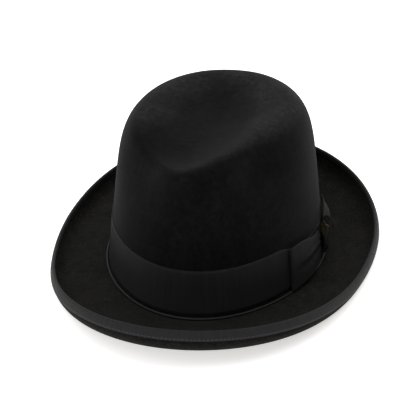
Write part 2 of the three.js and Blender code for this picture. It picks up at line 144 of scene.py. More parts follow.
PIN_OFFSET = 0.0048
PIN_RADIUS = 0.00055
PIN_TIP_HEIGHT = 0.007
PIN_TOP_HEIGHT = 0.0274
FERRULE_FOOT = 0.0277

# Stitches: pitch, thread length and thread radius.
BINDING_STITCH = (0.0029, 0.0020, 0.00022)
LEATHER_STITCH = (0.0042, 0.0030, 0.00026)
SHIELD_STITCH = (0.0036, 0.0024, 0.0002)

SWEATBAND_HEIGHT = 0.038
SWEATBAND_SEAM = 0.0032
SWEATBAND_THICK = 0.0009
REED_RADIUS = 0.00075
LINING_INSET = FELT + 0.0008
LINING_THICK = 0.0004
LINING_DROP = 0.0042

# Camera, from the way the hat is seen: a long lens, a little above and to the wearer's left.
CAMERA_AZIMUTH = math.radians(12.55)
CAMERA_ELEVATION = math.radians(27.77)
CAMERA_DISTANCE = 1.10
CAMERA_LENS = 121.55
CAMERA_ROLL = math.radians(-1.24)
CAMERA_AIM_SIDE = -0.00455
CAMERA_AIM_HEIGHT = 0.0397

BODY = "hat"
ORNAMENT = "ornament"

# ---- shape of the hat


def bell(value, centre, width):
    """A smooth bump of height 1 at centre."""
    return np.exp(-(((value - centre) / width) ** 2))


def eased(share):
    """Smooth step from 0 to 1."""
    return share * share * (3 - 2 * share)


def unit(vectors):
    return vectors / np.maximum(np.linalg.norm(vectors, axis=-1, keepdims=True), 1e-12)


def between(low, high, across):
    """A grid: row k runs from low[k] to high[k] as across runs from 0 to 1."""
    return (low + 0 * high)[:, None] + (high - low)[:, None] * across


def outward(theta):
    """Level unit vector out of the head oval, as its x and y."""
    dx = -HALF_WIDTH * (np.sin(theta) - EGG * np.cos(2 * theta))
    dy = HALF_LENGTH * np.cos(theta)
    length = np.hypot(dx, dy)
    return dy / length, -dx / length


def smooth_min(a, b, blend):
    share = np.clip(0.5 + 0.5 * (b - a) / blend, 0, 1)
    return b + (a - b) * share - blend * share * (1 - share)


def crease_height(x, y):
    """Height of the crease surface over a place on the crown's plan."""
    run = y - CREASE_DEEPEST_Y
    reach = np.where(run < 0, CREASE_REACH_FRONT, CREASE_REACH_BACK)
    aside = x - CREASE_SWING * np.minimum(run, 0)
    side = np.hypot(aside, CREASE_ROUNDING) - CREASE_ROUNDING
    spot = ((x - PRESS_X) ** 2 + (y - PRESS_Y) ** 2) / PRESS_REACH ** 2
    rise = 0.001 * (run / reach) ** 2 + CREASE_SLOPE * side
    return CREASE_FLOOR + rise - PRESS_DEPTH * np.exp(-spot)


def pinch_depth(theta, z):
    """How far the front pinches push the crown in."""
    fall = bell(z, PINCH_HEIGHT, PINCH_TALL)
    total = 0
    for centre, depth in ((PINCH_LEFT_ANGLE, PINCH_LEFT_DEPTH),
                          (PINCH_RIGHT_ANGLE, PINCH_RIGHT_DEPTH)):
        turn = np.arctan2(np.sin(theta - centre), np.cos(theta - centre))
        total = total + depth * fall * bell(turn, 0, PINCH_SPREAD)
    return total


def crown_point(theta, phi, inset=0.0):
    """A point of the creased crown: phi is 0 at the break and a right angle at the top."""
    theta, phi = np.broadcast_arrays(theta, phi)
    z = (CROWN_HEIGHT - inset) * np.sin(phi) ** (2 / SHOULDER_SQUARENESS)
    share = np.maximum(np.cos(phi), 0) ** (2 / PLAN_ROUNDNESS)
    half_width = HALF_WIDTH - inset - SIDE_TAPER * z
    half_length = HALF_LENGTH - inset - LENGTH_TAPER * z
    dent = pinch_depth(theta, z) * share
    out_x, out_y = outward(theta)
    x = share * half_width * np.cos(theta) * (1 + EGG * np.sin(theta)) - out_x * dent
    y = share * half_length * np.sin(theta) + BACK_LEAN * z - out_y * dent
    floor = crease_height(x, y) - inset
    top = smooth_min(z, floor, CREASE_BLEND) + SIDE_TILT * x * (z / CROWN_HEIGHT)
    return np.stack([x, y, top], -1)


def wall_point(theta, z, off):
    """A point beside the crown wall at height z, off outwards from the felt."""
    theta, z, off = np.broadcast_arrays(theta, z, off)
    level = np.maximum(z, 0) / CROWN_HEIGHT
    point = crown_point(theta, np.arcsin(level ** (SHOULDER_SQUARENESS / 2)))
    out_x, out_y = outward(theta)
    return np.stack([point[..., 0] + out_x * off, point[..., 1] + out_y * off, z], -1)


def brim_section(theta):
    """Slope of the land, width, roll radius, roll end angle and land length."""
    sideways = np.cos(2 * theta)
    steep = np.maximum(0, (np.abs(np.sin(theta)) - FLAT_SIDE) / (1 - FLAT_SIDE))
    slope = BRIM_RISE * steep ** 1.5
    width = BRIM_WIDTH - BRIM_WIDTH_SIDE_LOSS * sideways
    radius = ROLL_RADIUS - ROLL_RADIUS_SIDE_LOSS * sideways
    end = ROLL_ANGLE + ROLL_ANGLE_BACK_GAIN * np.sin(theta)
    return slope, width, radius, end, width - radius * (end - slope)


def brim_point(theta, along, up):
    """A point by the brim: along from the break, up from the middle of the felt."""
    theta, along, up = np.broadcast_arrays(theta, along, up)
    slope, width, radius, end, land = brim_section(theta)
    on_land = np.minimum(along, land)
    turn = slope + np.clip((along - land) / radius, 0, end - slope)
    past = np.maximum(0, along - width)
    out = on_land * np.cos(slope) + radius * (np.sin(turn) - np.sin(slope))
    out = out + past * np.cos(turn) - up * np.sin(turn)
    z = on_land * np.sin(slope) + radius * (np.cos(slope) - np.cos(turn))
    z = z + past * np.sin(turn) + up * np.cos(turn)
    base = wall_point(theta, 0, out)
    return np.stack([base[..., 0], base[..., 1], z], -1)


def felt_half(back):
    """Half the brim felt's thickness, back from its edge: it is pressed thin in the binding."""
    share = np.clip(back / EDGE_RUN, 0, 1)
    return FELT / 2 * (EDGE_THIN + (1 - EDGE_THIN) * eased(share))


def phi_of_share(share):
    return np.arccos(np.asarray(share) ** (PLAN_ROUNDNESS / 2))


def phi_of_height(share):
    return np.arcsin(np.asarray(share) ** (SHOULDER_SQUARENESS / 2))


def frame_shift():
    """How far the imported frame's origin lies from the shape functions' origin."""
    low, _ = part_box("hat_band")
    front = wall_point(-math.pi / 2, BAND_BOTTOM, 0.0011)
    return np.array([0.0, low[1] - front[1], low[2] - BAND_BOTTOM])


SHIFT = frame_shift()


def around(steps):
    return np.linspace(0, 2 * math.pi, steps, endpoint=False)


def arc_lengths(points):
    """Length along a row of points, starting at 0."""
    steps = np.linalg.norm(np.diff(points, axis=0), axis=-1)
    return np.concatenate([[0], np.cumsum(steps)])


def ring_lengths(points):
    """Length round a closed row of points; one longer than the row."""
    return arc_lengths(np.concatenate([points, points[:1]]))


def grid_uvs(run, across):
    """UVs of a strip, in metres; each may be a row of numbers or a grid."""
    run = np.asarray(run)
    run = run[:, None] if run.ndim == 1 else run
    return np.stack(np.broadcast_arrays(run, across), -1)


# ---- mesh builders


def grid_faces(rows, columns, wrap_rows, wrap_columns):
    """Quads of a grid, with the unwrapped row and column of each corner for the UVs."""
    i, j = np.meshgrid(
        np.arange(rows - (not wrap_rows)), np.arange(columns - (not wrap_columns)), indexing="ij")
    i, j = i.ravel(), j.ravel()
    corner_rows = np.stack([i, i + 1, i + 1, i], -1)
    corner_columns = np.stack([j, j, j + 1, j + 1], -1)
    faces = (corner_rows % rows) * columns + corner_columns % columns
    return faces, corner_rows, corner_columns


def make_mesh(name, points, faces, corner_uvs=None, weld=0.0):
    mesh = bpy.data.meshes.new(name)
    mesh.from_pydata((points + SHIFT).tolist(), [], [list(face) for face in faces])
    if corner_uvs is not None:
        layer = mesh.uv_layers.new(name="run")
        layer.data.foreach_set("uv", np.asarray(corner_uvs, dtype=np.float32).ravel())
    edit = bmesh.new()
    edit.from_mesh(mesh)
    if weld:
        bmesh.ops.remove_doubles(edit, verts=edit.verts, dist=weld)
    bmesh.ops.recalc_face_normals(edit, faces=edit.faces)
    edit.to_mesh(mesh)
    edit.free()
    mesh.shade_smooth()
    piece = bpy.data.objects.new(name, mesh)
    bpy.context.scene.collection.objects.link(piece)
    return piece


def grid_piece(name, points, uvs=None, wrap=(False, False), weld=0.0):
    """A surface through a grid of points; uvs has one more row or column where it wraps."""
    rows, columns = points.shape[:2]
    faces, corner_rows, corner_columns = grid_faces(rows, columns, *wrap)
    corner_uvs = None if uvs is None else uvs[corner_rows, corner_columns]
    return make_mesh(name, points.reshape(-1, 3), faces, corner_uvs, weld)


def surface_normals(centre, wrap_rows):
    """Unit normals of a grid surface."""
    if wrap_rows:
        padded = np.concatenate([centre[-1:], centre, centre[:1]])
        down = np.gradient(padded, axis=0)[1:-1]
    else:
        down = np.gradient(centre, axis=0)
    across = np.gradient(centre, axis=1)
    return unit(np.cross(down, across))


def cloth_strip(name, centre, thickness, uvs, wrap=False):
    """A closed strip of cloth round a middle surface: rows run along it, columns across it."""
    rows, columns = centre.shape[:2]
    normal = surface_normals(centre, wrap)
    thick = np.broadcast_to(thickness, centre.shape[:2])[..., None] / 2
    ring = np.concatenate([centre + normal * thick, (centre - normal * thick)[:, ::-1]], axis=1)
    ring_uvs = np.concatenate([uvs, uvs[:, ::-1], uvs[:, :1]], axis=1)
    faces, corner_rows, corner_columns = grid_faces(rows, 2 * columns, wrap, True)
    corner_uvs = ring_uvs[corner_rows, corner_columns]
    if wrap:
        return make_mesh(name, ring.reshape(-1, 3), faces, corner_uvs)
    j = np.arange(columns - 1)
    caps = []
    cap_uvs = []
    for row in (0, rows - 1):
        base = row * 2 * columns
        caps.append(np.stack([base + j, base + j + 1,
                              base + 2 * columns - 2 - j, base + 2 * columns - 1 - j], -1))
        cap_uvs.append(np.stack([uvs[row, j], uvs[row, j + 1], uvs[row, j + 1], uvs[row, j]], 1))
    faces = np.concatenate([faces, *caps])
    corner_uvs = np.concatenate([corner_uvs, *cap_uvs])
    return make_mesh(name, ring.reshape(-1, 3), faces, corner_uvs)


def ribbon(name, centre, across, column, thickness=RIBBON, wrap=False):
    """A cloth strip with UVs in metres, and the lengths along one column of its middle surface."""
    run = (ring_lengths if wrap else arc_lengths)(centre[:, column])
    return cloth_strip(name, centre, thickness, grid_uvs(run, across), wrap), run


def ring_tube(name, centre, sides, radius, twist=0.0, strands=0, relief=0.0):
    """A closed tube that lies level round the crown; strands give it a twisted surface."""
    count = len(centre)
    theta = around(count)
    out_x, out_y = outward(theta)
    turn = around(sides)
    run = ring_lengths(centre)
    swell = 1 + relief * np.cos(strands * (turn[None] - twist * run[:-1, None]))
    level = radius * swell * np.cos(turn)
    rise = radius * swell * np.sin(turn)
    points = centre[:, None] + np.stack(
        [out_x[:, None] * level, out_y[:, None] * level, rise], -1)
    uvs = grid_uvs(run, np.linspace(0, 1, sides + 1))
    return grid_piece(name, points, uvs, wrap=(True, True))


def path_frames(path):
    """Tangent and two normals along an open path, carried without twist."""
    tangent = unit(np.gradient(path, axis=0))
    seed = np.array([0.0, 0.0, 1.0]) if abs(tangent[0][2]) < 0.9 else np.array([1.0, 0, 0])
    normals = [np.cross(tangent[0], seed)]
    for step in tangent[1:]:
        normals.append(unit(normals[-1] - step * np.dot(normals[-1], step)))
    normal = unit(np.array(normals))
    return tangent, normal, np.cross(tangent, normal)


def tube_points(path, radii, sides):
    _, normal, binormal = path_frames(path)
    turn = around(sides)
    radii = np.broadcast_to(radii, len(path))[:, None, None]
    return path[:, None] + radii * (
        normal[:, None] * np.cos(turn)[:, None] + binormal[:, None] * np.sin(turn)[:, None])


def open_tubes(name, tubes, sides):
    """Several closed-ended tubes in one mesh: a list of (path, radii)."""
    points = []
    faces = []
    base = 0
    for path, radii in tubes:
        rows = len(path)
        points.append(tube_points(path, radii, sides).reshape(-1, 3))
        quads, _, _ = grid_faces(rows, sides, False, True)
        faces.extend((quads + base).tolist())
        faces.append([base + k for k in range(sides)])
        faces.append([base + (rows - 1) * sides + k for k in reversed(range(sides))])
        base += rows * sides
    return make_mesh(name, np.concatenate(points), faces)


def turned_piece(name, profile, sides, place):
    """A solid of revolution from (radius, height) pairs; place(z) gives its axis."""
    profile = np.array(profile)
    axis = unit(place(1.0) - place(0.0))
    side = unit(np.cross(axis, [0, 1, 0]))
    front = np.cross(axis, side)
    turn = around(sides)
    circle = side * np.cos(turn)[:, None] + front * np.sin(turn)[:, None]
    base = place(0.0)
    points = base + axis * profile[:, 1, None, None] + circle * profile[:, 0, None, None]
    return grid_piece(name, points, wrap=(False, True), weld=1e-7)


def settle(piece, body, material, nodes=()):
    """Gives a piece its body and material, and hides the CAD nodes it stands for."""
    piece.data.materials.append(material)
    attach(piece, body)
    if nodes:
        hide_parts(*nodes)
    return piece


# ---- materials


class Shader:
    """A Principled material and short calls for its procedural nodes."""

    def __init__(self, name):
        self.material = bpy.data.materials.new(name)
        self.material.use_nodes = True
        self.tree = self.material.node_tree
        self.principled = self.tree.nodes["Principled BSDF"]

    def link(self, source, target):
        self.tree.links.new(source, target)

    def feed(self, socket, value):
        """Gives a socket another node's output, a colour, a vector or a number."""
        if isinstance(value, bpy.types.NodeSocket):
            self.link(value, socket)
        else:
            socket.default_value = (*value, 1) if socket.type == "RGBA" else value

    def node(self, kind, inputs, **settings):
        """A new node; inputs maps the names or places of its sockets to what feeds them."""
        made = self.tree.nodes.new(kind)
        for key, value in settings.items():
            setattr(made, key, value)
        for key, value in inputs.items():
            self.feed(made.inputs[key], value)
        return made

    def set(self, **values):
        for key, value in values.items():
            self.principled.inputs[key.replace("_", " ")].default_value = value

    def coordinates(self, kind="Object", scale=(1, 1, 1)):
        """Object or UV coordinates, in metres, stretched by scale."""
        source = self.node("ShaderNodeTexCoord", {}).outputs[kind]
        return self.node("ShaderNodeMapping", {"Scale": scale, "Vector": source}).outputs["Vector"]

    def noise(self, vector, scale, detail=3.0, roughness=0.5):
        inputs = {"Scale": scale, "Detail": detail, "Roughness": roughness, "Vector": vector}
        return self.node("ShaderNodeTexNoise", inputs).outputs["Fac"]

    def ribs(self, vector, pitch, direction="X"):
        """Evenly spaced ribs, one every pitch metres."""
        inputs = {"Scale": 2 * math.pi / (20 * pitch), "Vector": vector}
        return self.node("ShaderNodeTexWave", inputs, bands_direction=direction).outputs["Fac"]

    def ramp(self, value, stops):
        """Maps a value to colours: stops is a list of (place, grey or colour)."""
        made = self.node("ShaderNodeValToRGB", {"Fac": value})
        elements = made.color_ramp.elements
        while len(elements) < len(stops):
            elements.new(0.5)
        for element, (place, colour) in zip(elements, stops):
            element.position = place
            element.color = (*colour, 1) if len(np.shape(colour)) else (colour,) * 3 + (1,)
        return made.outputs["Color"]

    def tones(self, value, dark, light):
        """Two tones, for the low and the high parts of a noise."""
        return self.ramp(value, [(0.3, dark), (0.7, light)])

    def axis(self, vector, name):
        return self.node("ShaderNodeSeparateXYZ", {"Vector": vector}).outputs[name]

    def blend(self, factor, a, b, mode="MIX"):
        """Mixes two colours; a mix node's colour sockets are its inputs 6 and 7."""
        inputs = {"Factor": factor, 6: a, 7: b}
        return self.node("ShaderNodeMix", inputs, data_type="RGBA", blend_type=mode).outputs[2]

    def darken(self, colour, value, amount=1.0):
        """Multiplies a colour by a value, as far as amount says."""
        return self.blend(amount, colour, value, "MULTIPLY")

    def add(self, a, b, share):
        """a plus share times b, for heights."""
        return self.node(
            "ShaderNodeMath", {0: b, 1: share, 2: a}, operation="MULTIPLY_ADD").outputs[0]

    def scaled(self, value, factor):
        return self.node("ShaderNodeMath", {0: value, 1: factor}, operation="MULTIPLY").outputs[0]

    def bump(self, height, distance, strength=1.0):
        inputs = {"Distance": distance, "Strength": strength, "Height": height}
        normal = self.node("ShaderNodeBump", inputs).outputs["Normal"]
        self.link(normal, self.principled.inputs["Normal"])

    def colour(self, output):
        self.link(output, self.principled.inputs["Base Color"])

    def rough(self, output):
        self.link(output, self.principled.inputs["Roughness"])


def fur_felt():
    """Black fur felt with a matte nap and dust specks; painted light makes the crown's top ridges
    and the brim lighter.
    """
    shader = Shader("fur_felt")
    place = shader.coordinates()
    height = shader.scaled(shader.axis(place, "Z"), 8)
    mottle = shader.noise(place, 38, 4, 0.6)
    crown, brim, painted_ridge_highlight = [
        shader.ramp(mottle, [(0.3, dark), (0.72, light)]) for dark, light in (
            ((0.0020, 0.0020, 0.0024), (0.0046, 0.0046, 0.0050)),
            ((0.0030, 0.0030, 0.0024), (0.0070, 0.0070, 0.0058)),
            ((0.0088, 0.0088, 0.0090), (0.0150, 0.0150, 0.0152)))]
    # Below the crown the felt takes the brim's lighter, warmer tone: painted light from the floor.
    # The dust specks further down are real dust.
    low = shader.ramp(height, [(0.22, 1.0), (0.34, 0.0)])
    felt = shader.blend(low, crown, brim)
    # Painted highlight: the felt turns lighter towards the crown's top ridges, varied by the
    # mottle.
    wear_and_painted_light = shader.ramp(shader.add(height, mottle, 0.03), [(0.935, 0.0), (0.995, 1.0)])
    felt = shader.blend(wear_and_painted_light, felt, painted_ridge_highlight)
    fibres = shader.noise(shader.coordinates("Object", (1, 1, 0.35)), 1500, 3, 0.7)
    felt = shader.darken(felt, shader.ramp(fibres, [(0.35, 0.55), (0.7, 1.35)]))
    tufts = shader.noise(place, 230, 3, 0.7)
    felt = shader.darken(felt, shader.ramp(tufts, [(0.34, 0.62), (0.68, 1.45)]))
    dust = shader.noise(place, 520, 3, 0.75)
    crown_dust = shader.ramp(dust, [(0.62, 0.0), (0.80, 0.14)])
    brim_dust = shader.ramp(dust, [(0.55, 0.0), (0.72, 0.46)])
    specks = shader.blend(low, crown_dust, brim_dust)
    shader.colour(shader.blend(specks, felt, (0.034, 0.033, 0.026)))
    nap = shader.noise(place, 520, 5, 0.65)
    shader.bump(shader.add(nap, fibres, 0.6), 0.00035, 0.55)
    shader.set(Roughness=0.92, Specular_IOR_Level=0.05, Sheen_Weight=0.055, Sheen_Roughness=0.45,
               Sheen_Tint=(0.6, 0.6, 0.6, 1))
    return shader.material


def grosgrain(name, dark, light, sheen, pitch=RIB_PITCH):
    """Ribbed ribbon: ribs lie across its run, with slubs."""
    shader = Shader(name)
    run = shader.coordinates("UV")
    ribs = shader.ribs(run, pitch)
    slubs = shader.noise(shader.coordinates("UV", (1, 0.03, 1)), 420, 3, 0.6)
    wear_and_painted_light = shader.noise(shader.coordinates(), 70, 3, 0.5)
    tone = shader.tones(slubs, dark, light)
    tone = shader.blend(shader.ramp(wear_and_painted_light, [(0.4, 0.0), (0.8, 0.35)]), tone, light)
    # The grooves between the ribs are darkened: painted shade.
    shader.colour(shader.darken(tone, shader.ramp(ribs, [(0.0, 0.25), (0.6, 1.0)]), 0.45))
    threads = shader.ribs(run, pitch / 3, "Y")
    shader.bump(shader.add(ribs, threads, 0.25), 0.00022, 0.8)
    shader.set(Roughness=0.62, Specular_IOR_Level=0.12, Sheen_Weight=sheen, Sheen_Roughness=0.35,
               Sheen_Tint=(0.7, 0.72, 0.8, 1))
    return shader.material


def fine_stock(name, dark, light, marks, relief, stretch=(1, 1, 1), space="Object", **settings):
    """A plain stock: marks is its noise's scale, detail and roughness; relief is for the bump."""
    shader = Shader(name)
    grain = shader.noise(shader.coordinates(space, stretch), *marks)
    shader.colour(shader.tones(grain, dark, light))
    shader.bump(grain, *relief)
    shader.set(**settings)
    return shader.material


def thread(name, colour):
    """Sewing thread."""
    dark = tuple(0.6 * c for c in colour)
    return fine_stock(name, dark, colour, (3000, 2), (0.0001, 0.5), Roughness=0.5,
                      Specular_IOR_Level=0.4)


def plain_stock(name, dark, light, roughness):
    """Paper or reed with faint fibres."""
    return fine_stock(name, dark, light, (900, 4, 0.7), (0.00005, 0.4), Roughness=roughness)


def aged_bronze():
    """Bronze, dark in the hollows and polished on the high spots."""
    shader = Shader("aged_bronze")
    place = shader.coordinates()
    patina = shader.noise(place, 700, 4, 0.6)
    shader.colour(shader.ramp(patina, [
        (0.35, (0.010, 0.008, 0.005)), (0.55, (0.045, 0.034, 0.018)), (0.75, (0.22, 0.17, 0.09))]))
    shader.rough(shader.tones(patina, 0.55, 0.22))
    shader.bump(patina, 0.00012, 0.5)
    shader.set(Metallic=1.0)
    return shader.material


def feather(name, root, tip):
    """Feather barbs, which change colour along the feather."""
    shader = Shader(name)
    run = shader.coordinates("UV")
    bars = shader.noise(run, 9, 2)
    tone = shader.ramp(shader.axis(run, "X"), [(0.0, root), (0.55, root), (1.0, tip)])
    shader.colour(shader.darken(tone, shader.ramp(bars, [(0.35, 0.35), (0.65, 1.0)]), 0.6))
    shader.set(Roughness=0.5, Specular_IOR_Level=0.12, Sheen_Weight=0.0)
    return shader.material


def roan_leather():
    """Smooth brown sweatband leather with fine pores and handling marks."""
    shader = Shader("roan_leather")
    place = shader.coordinates()
    cells = shader.node(
        "ShaderNodeTexVoronoi", {"Scale": 900, "Vector": place}, feature="DISTANCE_TO_EDGE")
    wear_and_painted_light = shader.noise(place, 45, 4, 0.6)
    shader.colour(shader.tones(wear_and_painted_light, (0.055, 0.024, 0.012), (0.12, 0.058, 0.028)))
    grain = shader.add(wear_and_painted_light, cells.outputs["Distance"], 4.0)
    shader.bump(grain, 0.00015, 0.45)
    shader.rough(shader.tones(wear_and_painted_light, 0.42, 0.62))
    shader.set(Specular_IOR_Level=0.5, Coat_Weight=0.08)
    return shader.material


def satin(name, dark, light):
    """Satin with fine threads and a soft directional shine."""
    shader = Shader(name)
    warp = shader.noise(shader.coordinates("Object", (1, 1, 0.04)), 2600, 2)
    cloud = shader.noise(shader.coordinates(), 30, 3)
    tone = shader.tones(cloud, dark, light)
    shader.colour(shader.darken(tone, shader.tones(warp, 0.6, 1.0), 0.25))
    shader.bump(warp, 0.00006, 0.6)
    shader.set(Roughness=0.34, Specular_IOR_Level=0.6, Anisotropic=0.5, Sheen_Weight=0.35)
    return shader.material


def clear_film():
    """Clear flexible plastic with slight waves."""
    shader = Shader("clear_film")
    wave = shader.noise(shader.coordinates(), 60, 2)
    shader.bump(wave, 0.0006, 0.4)
    shader.set(Base_Color=(0.9, 0.93, 0.95, 1), Roughness=0.08, Alpha=0.25,
               Specular_IOR_Level=0.6, Coat_Weight=0.5)
    return shader.material


FELT_LOOK = fur_felt()
BAND_LOOK = grosgrain("band_grosgrain", (0.0085, 0.0085, 0.0090), (0.0140, 0.0140, 0.0148), 0.03)
# The knot's ribbon is the band's grosgrain in a darker copy: painted shade for the shadow round the
# knot.
KNOT_SHADED_LOOK = grosgrain("knot_grosgrain_painted_shade", (0.0030, 0.0030, 0.0032), (0.0055, 0.0055, 0.0058), 0.02)
BINDING_LOOK = grosgrain("binding_grosgrain", (0.013, 0.013, 0.0137), (0.022, 0.022, 0.024), 0.02)
CORD_LOOK = fine_stock("silky_cord", (0.009, 0.009, 0.010), (0.026, 0.026, 0.028), (1400, 2),
                       (0.0002, 0.5), (1, 0.001, 1), "UV", Roughness=0.55,
                       Specular_IOR_Level=0.2, Sheen_Weight=0.02)
DARK_THREAD = thread("dark_thread", (0.045, 0.046, 0.052))
PALE_THREAD = thread("pale_thread", (0.35, 0.30, 0.22))
BRONZE_LOOK = aged_bronze()
STEEL_LOOK = fine_stock("pin_steel", (0.045, 0.044, 0.042), (0.10, 0.098, 0.094), (4000, 2),
                        (0.00005, 0.4), (1, 1, 0.05), Metallic=1.0, Roughness=0.35)
DARK_FEATHER = feather("dark_feather", (0.0022, 0.0022, 0.0020), (0.0040, 0.0040, 0.0036))
GREY_FEATHER = feather("grey_feather", (0.012, 0.012, 0.012), (0.040, 0.040, 0.042))
OLIVE_FEATHER = feather("olive_feather", (0.034, 0.031, 0.009), (0.013, 0.0125, 0.005))
LEATHER_LOOK = roan_leather()
SATIN_LOOK = satin("lining_satin", (0.20, 0.185, 0.17), (0.30, 0.285, 0.265))
REED_LOOK = plain_stock("reed_plastic", (0.50, 0.46, 0.36), (0.68, 0.63, 0.5), 0.55)
PAPER_LOOK = plain_stock("label_paper", (0.70, 0.66, 0.55), (0.82, 0.78, 0.68), 0.85)
FILM_LOOK = clear_film()

# ---- felt body

FELT_STEPS = 320


def felt_rows():
    """Rows of the felt's whole skin, from the top of the crown round the brim and back up."""
    theta = around(FELT_STEPS)
    half = FELT / 2
    crown_shares = np.linspace(0, 0.93, 70)
    wall_shares = np.linspace(0.83, 0.035, 50)
    phis = np.concatenate([phi_of_share(crown_shares), phi_of_height(wall_shares)])
    outside = [crown_point(theta, phi) for phi in phis]
    inside = [crown_point(theta, phi, FELT) for phi in phis[::2]]
    bend = np.linspace(0, math.pi / 2, 6)[1:-1]
    rise, out = 1 - np.sin(bend), 1 - np.cos(bend)
    top_bend = [wall_point(theta, half + BEND_ABOVE * up, BEND_ABOVE * off)
                for up, off in zip(rise, out)]
    under_bend = [wall_point(theta, -half + BEND_UNDER * up, -FELT + BEND_UNDER * off)
                  for up, off in zip(rise, out)]
    _, width, _, _, land = brim_section(theta)

    def brim_rows(side):
        flat = [brim_point(theta, land * share, side * half) for share in np.linspace(0.08, 1, 14)]
        roll = []
        for share in np.linspace(0, 1, 34)[1:]:
            along = land + (width - EDGE_ROUND - land) * share
            roll.append(brim_point(theta, along, side * felt_half(width - along)))
        return flat + roll

    edge = [brim_point(theta, width - EDGE_ROUND * (1 - math.cos(a)), felt_half(0) * math.sin(a))
            for a in np.radians([60, 25, -25, -60])]
    return np.stack([*outside, *top_bend, *brim_rows(1), *edge, *brim_rows(-1)[::-1],
                     *under_bend[::-1], *inside[::-1]])


def make_felt_body():
    piece = grid_piece("felt_hat_body", felt_rows(), wrap=(False, True), weld=1e-7)
    settle(piece, BODY, FELT_LOOK, ["felt_body"])


make_felt_body()

# ---- ribbon trims


def make_brim_binding():
    theta = around(720)
    width = brim_section(theta)[1]
    fold = np.linspace(-math.pi / 2, math.pi / 2, 9)
    stations = []
    for back in np.linspace(BINDING_OUTSIDE, EDGE_ROUND, 7):
        stations.append((width - back, -felt_half(back) - RIBBON_OFF))
    for a in fold[1:-1]:
        along = width - EDGE_ROUND / 2 + BINDING_FOLD * math.cos(a)
        stations.append((along, (felt_half(0) + RIBBON_OFF) * math.sin(a)))
    for back in np.linspace(EDGE_ROUND, BINDING_INSIDE, 6):
        stations.append((width - back, felt_half(back) + RIBBON_OFF))
    centre = np.stack([brim_point(theta, along, up) for along, up in stations], 1)
    across = arc_lengths(centre[0])
    piece, run = ribbon("bound_brim_ribbon", centre, across, 8, wrap=True)
    settle(piece, BODY, BINDING_LOOK, ["brim_binding"])


def stitch_row(name, place, stitch, material):
    """Short thread stitches along place(theta), which gives points and runs all round."""
    spacing, length, radius = stitch
    fine = around(2400)
    line = place(fine)
    run = ring_lengths(line)
    count = int(run[-1] / spacing)
    tubes = []
    for k in range(count):
        middle = (k + 0.5) * spacing
        along = middle + np.linspace(-0.5, 0.5, 5) * length
        theta = np.interp(along, run, np.append(fine, 2 * math.pi))
        path = place(theta)
        radii = radius * np.array([0.35, 0.9, 1.0, 0.9, 0.35])
        tubes.append((path, radii))
    piece = open_tubes(name, tubes, 5)
    settle(piece, BODY, material)


def make_binding_stitches():
    for name, back, side in (("binding_stitches_outside", BINDING_OUTSIDE - 0.0012, -1),
                             ("binding_stitches_inside", BINDING_INSIDE - 0.0010, 1)):
        def place(theta, back=back, up=side * (felt_half(back) + RIBBON * 1.25)):
            width = brim_section(theta)[1]
            return brim_point(theta, width - back, up)
        stitch_row(name, place, BINDING_STITCH, DARK_THREAD)


def make_hat_band():
    """The band; its top edge is drawn down where it is lapped and sewn behind the bow."""
    theta = around(720)
    turn = np.degrees(np.abs(np.arctan2(np.sin(theta), np.cos(theta))))
    share = np.clip((BAND_DIP_END - turn) / BAND_DIP_RUN, 0, 1)
    top = BAND_BOTTOM + BAND_WIDTH - BAND_DIP * eased(share)
    across = np.linspace(0, 1, 15)
    z = between(BAND_BOTTOM, top, across)
    centre = wall_point(theta[:, None], z, RIBBON)
    piece, run = ribbon("grosgrain_hat_band", centre, BAND_WIDTH * across, 7, wrap=True)
    settle(piece, BODY, BAND_LOOK, ["hat_band"])


def make_wind_cord():
    theta = around(CORD_STEPS)
    rise = brim_point(theta, CORD_OUT, 0)[..., 2]
    centre = wall_point(theta, 0, CORD_OUT)
    centre[:, 2] = rise + CORD_RAISE
    piece = ring_tube("twisted_wind_cord", centre, 14, CORD_RADIUS, twist=1500, strands=3,
                      relief=0.1)
    settle(piece, BODY, CORD_LOOK, ["wind_cord"])


make_brim_binding()
make_binding_stitches()
make_hat_band()
make_wind_cord()

# ---- bow

FOLD_VALLEY = 0.0172
FOLD_CREST = 0.0232
FRONT_TOP = 0.0322
FRONT_TOP_GAIN = 0.0056
REAR_TOP = 0.0385
REAR_TOP_LOSS = 0.0095
REAR_ARCH = 0.72
REAR_PUFF = 0.0046
TAIL_WIDTH = 0.018
TAIL_TAPER = 0.006
KNOT_WRAP = math.radians(118)
KNOT_CORNER = 0.0022


def front_swell(reach, across, z):
    """How far the front loop stands off: gathered by the knot, with one long fold along it."""
    swell = LOOP_DEPTH * (0.35 + 0.5 * reach) + BOW_PUFF * bell(reach, 0.55, 0.3)
    slack = np.sin(math.pi * reach ** 0.6)
    valley = bell(z, FOLD_VALLEY, 0.0030)
    crest = bell(z, FOLD_CREST, 0.0022)
    pleats = 0.0004 * np.cos(across * 21 + 1) * (1 - reach) ** 3
    return swell - slack * (0.0014 * valley - 0.0006 * crest) + pleats


def front_top(reach):
    """Height of the front loop's top edge: it falls toward the knot."""
    rise = np.clip((reach - 0.12) / 0.65, 0, 1)
    return FRONT_TOP + FRONT_TOP_GAIN * eased(rise)


def rear_swell(reach, across, _):
    """How far the rear loop stands off: round near its top, lying flat to the crown at its end."""
    belly = REAR_PUFF * bell(reach, 0.52, 0.30)
    above = np.clip((across - REAR_ARCH) / (1 - REAR_ARCH), 0, 1)
    below = np.clip((REAR_ARCH - across) / REAR_ARCH, 0, 1)
    arch = 1 - 0.92 * above ** 2 - 0.8 * below ** 2
    pleats = 0.0004 * np.cos(across * 19) * (1 - reach) ** 3
    return 0.0004 + belly * arch + pleats - 0.0004 * reach


def rear_top(reach):
    """Height of the rear loop's top edge: drawn down beside the knot."""
    short = 1 - np.clip(reach / 0.6, 0, 1)
    return REAR_TOP - REAR_TOP_LOSS * short * short


